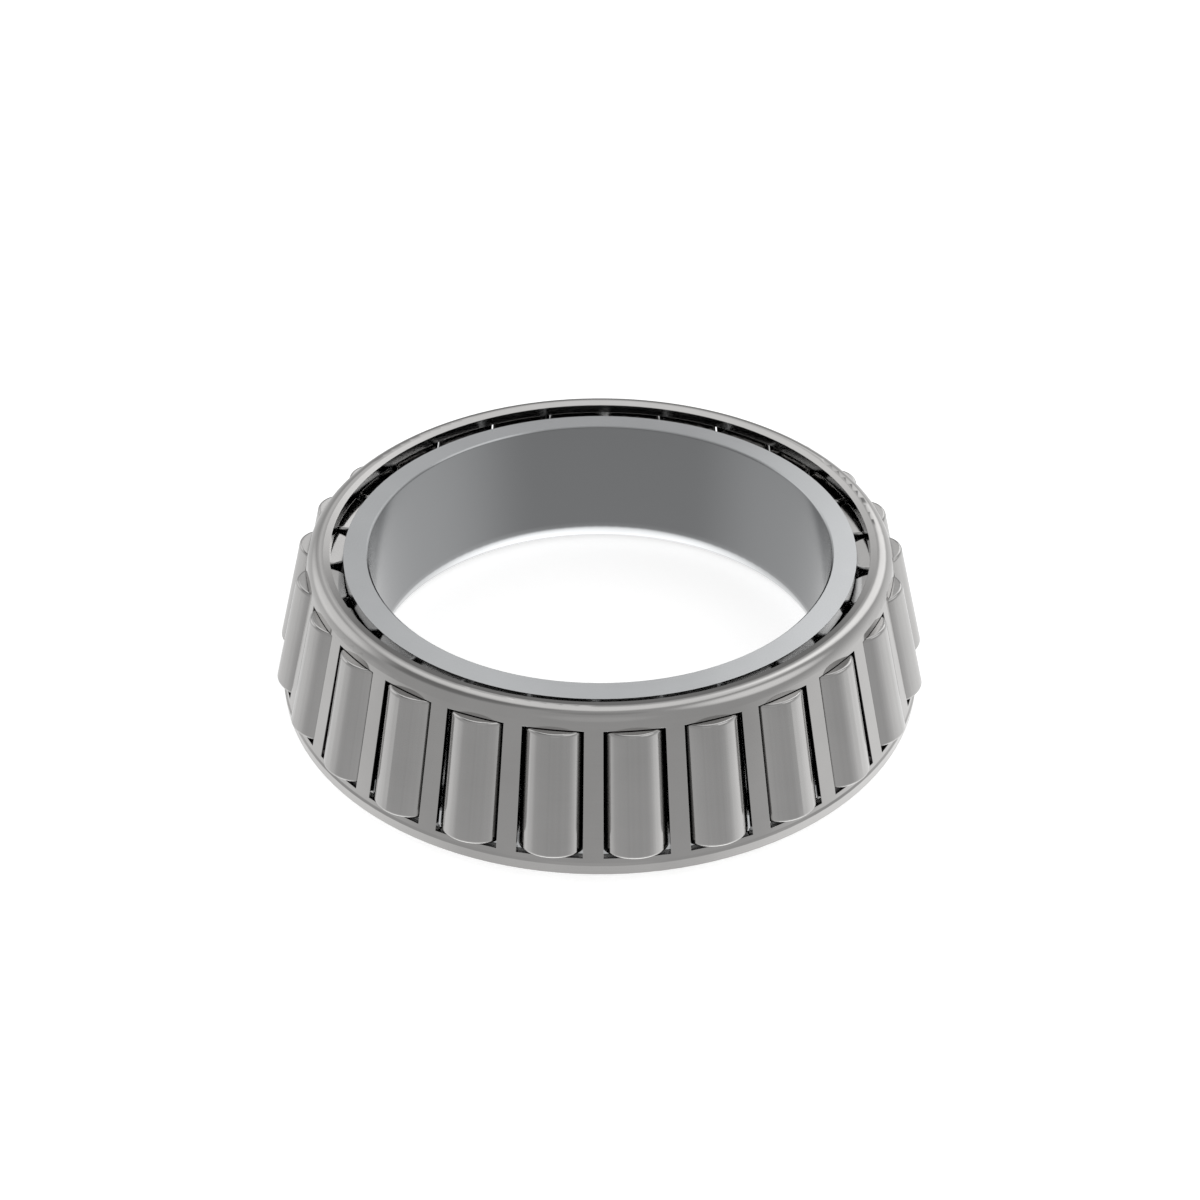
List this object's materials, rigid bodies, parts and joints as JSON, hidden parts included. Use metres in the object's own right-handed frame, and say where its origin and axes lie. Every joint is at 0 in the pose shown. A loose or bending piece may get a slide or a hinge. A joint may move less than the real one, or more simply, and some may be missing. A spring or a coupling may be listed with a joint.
{
  "type": "tapered roller bearing",
  "caption": "Cone assembly of a single-row tapered roller bearing: inner ring with ribs, pressed steel cage and tapered rollers that roll as the cage turns.",
  "frame": {"origin": "centre of the inner ring's back face (its large-rib end), on the bore axis", "axes": "+Z along the bore towards the rollers' small ends; the first roller lies on +X"},
  "size_m": [0.0732, 0.0728, 0.0184],
  "materials": {
    "ring_steel": "ground",
    "roller_steel": "ground",
    "cage_steel": "pressed, satin"
  },
  "bodies": {
    "inner_ring": {"inner_ring": "ring_steel"},
    "cage": {"cage": "cage_steel"},
    "roller_01": {"roller_01": "roller_steel"},
    "roller_02": {"roller_02": "roller_steel"},
    "roller_03": {"roller_03": "roller_steel"},
    "roller_04": {"roller_04": "roller_steel"},
    "roller_05": {"roller_05": "roller_steel"},
    "roller_06": {"roller_06": "roller_steel"},
    "roller_07": {"roller_07": "roller_steel"},
    "roller_08": {"roller_08": "roller_steel"},
    "roller_09": {"roller_09": "roller_steel"},
    "roller_10": {"roller_10": "roller_steel"},
    "roller_11": {"roller_11": "roller_steel"},
    "roller_12": {"roller_12": "roller_steel"},
    "roller_13": {"roller_13": "roller_steel"},
    "roller_14": {"roller_14": "roller_steel"},
    "roller_15": {"roller_15": "roller_steel"},
    "roller_16": {"roller_16": "roller_steel"},
    "roller_17": {"roller_17": "roller_steel"},
    "roller_18": {"roller_18": "roller_steel"},
    "roller_19": {"roller_19": "roller_steel"},
    "roller_20": {"roller_20": "roller_steel"},
    "roller_21": {"roller_21": "roller_steel"},
    "roller_22": {"roller_22": "roller_steel"},
    "roller_23": {"roller_23": "roller_steel"},
    "roller_24": {"roller_24": "roller_steel"},
    "roller_25": {"roller_25": "roller_steel"},
    "roller_26": {"roller_26": "roller_steel"}
  },
  "joints": [
    {"name": "cage_spin", "type": "hinge", "parent": "inner_ring", "child": "cage", "pos_m": [0, 0, 0.009], "axis": [0, 0, 1], "continuous": true},
    {"name": "roller_01_spin", "type": "hinge", "parent": "cage", "child": "roller_01", "pos_m": [0.03152, 0, 0.01051], "axis": [-0.2424, 0, 0.9702], "continuous": true},
    {"name": "roller_02_spin", "type": "hinge", "parent": "cage", "child": "roller_02", "pos_m": [0.0306, 0.00754, 0.01051], "axis": [-0.2354, -0.058, 0.9702], "continuous": true},
    {"name": "roller_03_spin", "type": "hinge", "parent": "cage", "child": "roller_03", "pos_m": [0.02791, 0.01465, 0.01051], "axis": [-0.2147, -0.1127, 0.9702], "continuous": true},
    {"name": "roller_04_spin", "type": "hinge", "parent": "cage", "child": "roller_04", "pos_m": [0.02359, 0.0209, 0.01051], "axis": [-0.1815, -0.1608, 0.9702], "continuous": true},
    {"name": "roller_05_spin", "type": "hinge", "parent": "cage", "child": "roller_05", "pos_m": [0.0179, 0.02594, 0.01051], "axis": [-0.1377, -0.1995, 0.9702], "continuous": true},
    {"name": "roller_06_spin", "type": "hinge", "parent": "cage", "child": "roller_06", "pos_m": [0.01118, 0.02947, 0.01051], "axis": [-0.086, -0.2267, 0.9702], "continuous": true},
    {"name": "roller_07_spin", "type": "hinge", "parent": "cage", "child": "roller_07", "pos_m": [0.0038, 0.03129, 0.01051], "axis": [-0.0292, -0.2407, 0.9702], "continuous": true},
    {"name": "roller_08_spin", "type": "hinge", "parent": "cage", "child": "roller_08", "pos_m": [-0.0038, 0.03129, 0.01051], "axis": [0.0292, -0.2407, 0.9702], "continuous": true},
    {"name": "roller_09_spin", "type": "hinge", "parent": "cage", "child": "roller_09", "pos_m": [-0.01118, 0.02947, 0.01051], "axis": [0.086, -0.2267, 0.9702], "continuous": true},
    {"name": "roller_10_spin", "type": "hinge", "parent": "cage", "child": "roller_10", "pos_m": [-0.0179, 0.02594, 0.01051], "axis": [0.1377, -0.1995, 0.9702], "continuous": true},
    {"name": "roller_11_spin", "type": "hinge", "parent": "cage", "child": "roller_11", "pos_m": [-0.02359, 0.0209, 0.01051], "axis": [0.1815, -0.1608, 0.9702], "continuous": true},
    {"name": "roller_12_spin", "type": "hinge", "parent": "cage", "child": "roller_12", "pos_m": [-0.02791, 0.01465, 0.01051], "axis": [0.2147, -0.1127, 0.9702], "continuous": true},
    {"name": "roller_13_spin", "type": "hinge", "parent": "cage", "child": "roller_13", "pos_m": [-0.0306, 0.00754, 0.01051], "axis": [0.2354, -0.058, 0.9702], "continuous": true},
    {"name": "roller_14_spin", "type": "hinge", "parent": "cage", "child": "roller_14", "pos_m": [-0.03152, 0, 0.01051], "axis": [0.2424, 0, 0.9702], "continuous": true},
    {"name": "roller_15_spin", "type": "hinge", "parent": "cage", "child": "roller_15", "pos_m": [-0.0306, -0.00754, 0.01051], "axis": [0.2354, 0.058, 0.9702], "continuous": true},
    {"name": "roller_16_spin", "type": "hinge", "parent": "cage", "child": "roller_16", "pos_m": [-0.02791, -0.01465, 0.01051], "axis": [0.2147, 0.1127, 0.9702], "continuous": true},
    {"name": "roller_17_spin", "type": "hinge", "parent": "cage", "child": "roller_17", "pos_m": [-0.02359, -0.0209, 0.01051], "axis": [0.1815, 0.1608, 0.9702], "continuous": true},
    {"name": "roller_18_spin", "type": "hinge", "parent": "cage", "child": "roller_18", "pos_m": [-0.0179, -0.02594, 0.01051], "axis": [0.1377, 0.1995, 0.9702], "continuous": true},
    {"name": "roller_19_spin", "type": "hinge", "parent": "cage", "child": "roller_19", "pos_m": [-0.01118, -0.02947, 0.01051], "axis": [0.086, 0.2267, 0.9702], "continuous": true},
    {"name": "roller_20_spin", "type": "hinge", "parent": "cage", "child": "roller_20", "pos_m": [-0.0038, -0.03129, 0.01051], "axis": [0.0292, 0.2407, 0.9702], "continuous": true},
    {"name": "roller_21_spin", "type": "hinge", "parent": "cage", "child": "roller_21", "pos_m": [0.0038, -0.03129, 0.01051], "axis": [-0.0292, 0.2407, 0.9702], "continuous": true},
    {"name": "roller_22_spin", "type": "hinge", "parent": "cage", "child": "roller_22", "pos_m": [0.01118, -0.02947, 0.01051], "axis": [-0.086, 0.2267, 0.9702], "continuous": true},
    {"name": "roller_23_spin", "type": "hinge", "parent": "cage", "child": "roller_23", "pos_m": [0.0179, -0.02594, 0.01051], "axis": [-0.1377, 0.1995, 0.9702], "continuous": true},
    {"name": "roller_24_spin", "type": "hinge", "parent": "cage", "child": "roller_24", "pos_m": [0.02359, -0.0209, 0.01051], "axis": [-0.1815, 0.1608, 0.9702], "continuous": true},
    {"name": "roller_25_spin", "type": "hinge", "parent": "cage", "child": "roller_25", "pos_m": [0.02791, -0.01465, 0.01051], "axis": [-0.2147, 0.1127, 0.9702], "continuous": true},
    {"name": "roller_26_spin", "type": "hinge", "parent": "cage", "child": "roller_26", "pos_m": [0.0306, -0.00754, 0.01051], "axis": [-0.2354, 0.058, 0.9702], "continuous": true}
  ],
  "couplings": [
    {"joint": "roller_01_spin", "follows": "cage_spin", "ratio": 8.4143},
    {"joint": "roller_02_spin", "follows": "cage_spin", "ratio": 8.4143},
    {"joint": "roller_03_spin", "follows": "cage_spin", "ratio": 8.4143},
    {"joint": "roller_04_spin", "follows": "cage_spin", "ratio": 8.4143},
    {"joint": "roller_05_spin", "follows": "cage_spin", "ratio": 8.4143},
    {"joint": "roller_06_spin", "follows": "cage_spin", "ratio": 8.4143},
    {"joint": "roller_07_spin", "follows": "cage_spin", "ratio": 8.4143},
    {"joint": "roller_08_spin", "follows": "cage_spin", "ratio": 8.4143},
    {"joint": "roller_09_spin", "follows": "cage_spin", "ratio": 8.4143},
    {"joint": "roller_10_spin", "follows": "cage_spin", "ratio": 8.4143},
    {"joint": "roller_11_spin", "follows": "cage_spin", "ratio": 8.4143},
    {"joint": "roller_12_spin", "follows": "cage_spin", "ratio": 8.4143},
    {"joint": "roller_13_spin", "follows": "cage_spin", "ratio": 8.4143},
    {"joint": "roller_14_spin", "follows": "cage_spin", "ratio": 8.4143},
    {"joint": "roller_15_spin", "follows": "cage_spin", "ratio": 8.4143},
    {"joint": "roller_16_spin", "follows": "cage_spin", "ratio": 8.4143},
    {"joint": "roller_17_spin", "follows": "cage_spin", "ratio": 8.4143},
    {"joint": "roller_18_spin", "follows": "cage_spin", "ratio": 8.4143},
    {"joint": "roller_19_spin", "follows": "cage_spin", "ratio": 8.4143},
    {"joint": "roller_20_spin", "follows": "cage_spin", "ratio": 8.4143},
    {"joint": "roller_21_spin", "follows": "cage_spin", "ratio": 8.4143},
    {"joint": "roller_22_spin", "follows": "cage_spin", "ratio": 8.4143},
    {"joint": "roller_23_spin", "follows": "cage_spin", "ratio": 8.4143},
    {"joint": "roller_24_spin", "follows": "cage_spin", "ratio": 8.4143},
    {"joint": "roller_25_spin", "follows": "cage_spin", "ratio": 8.4143},
    {"joint": "roller_26_spin", "follows": "cage_spin", "ratio": 8.4143}
  ]
}
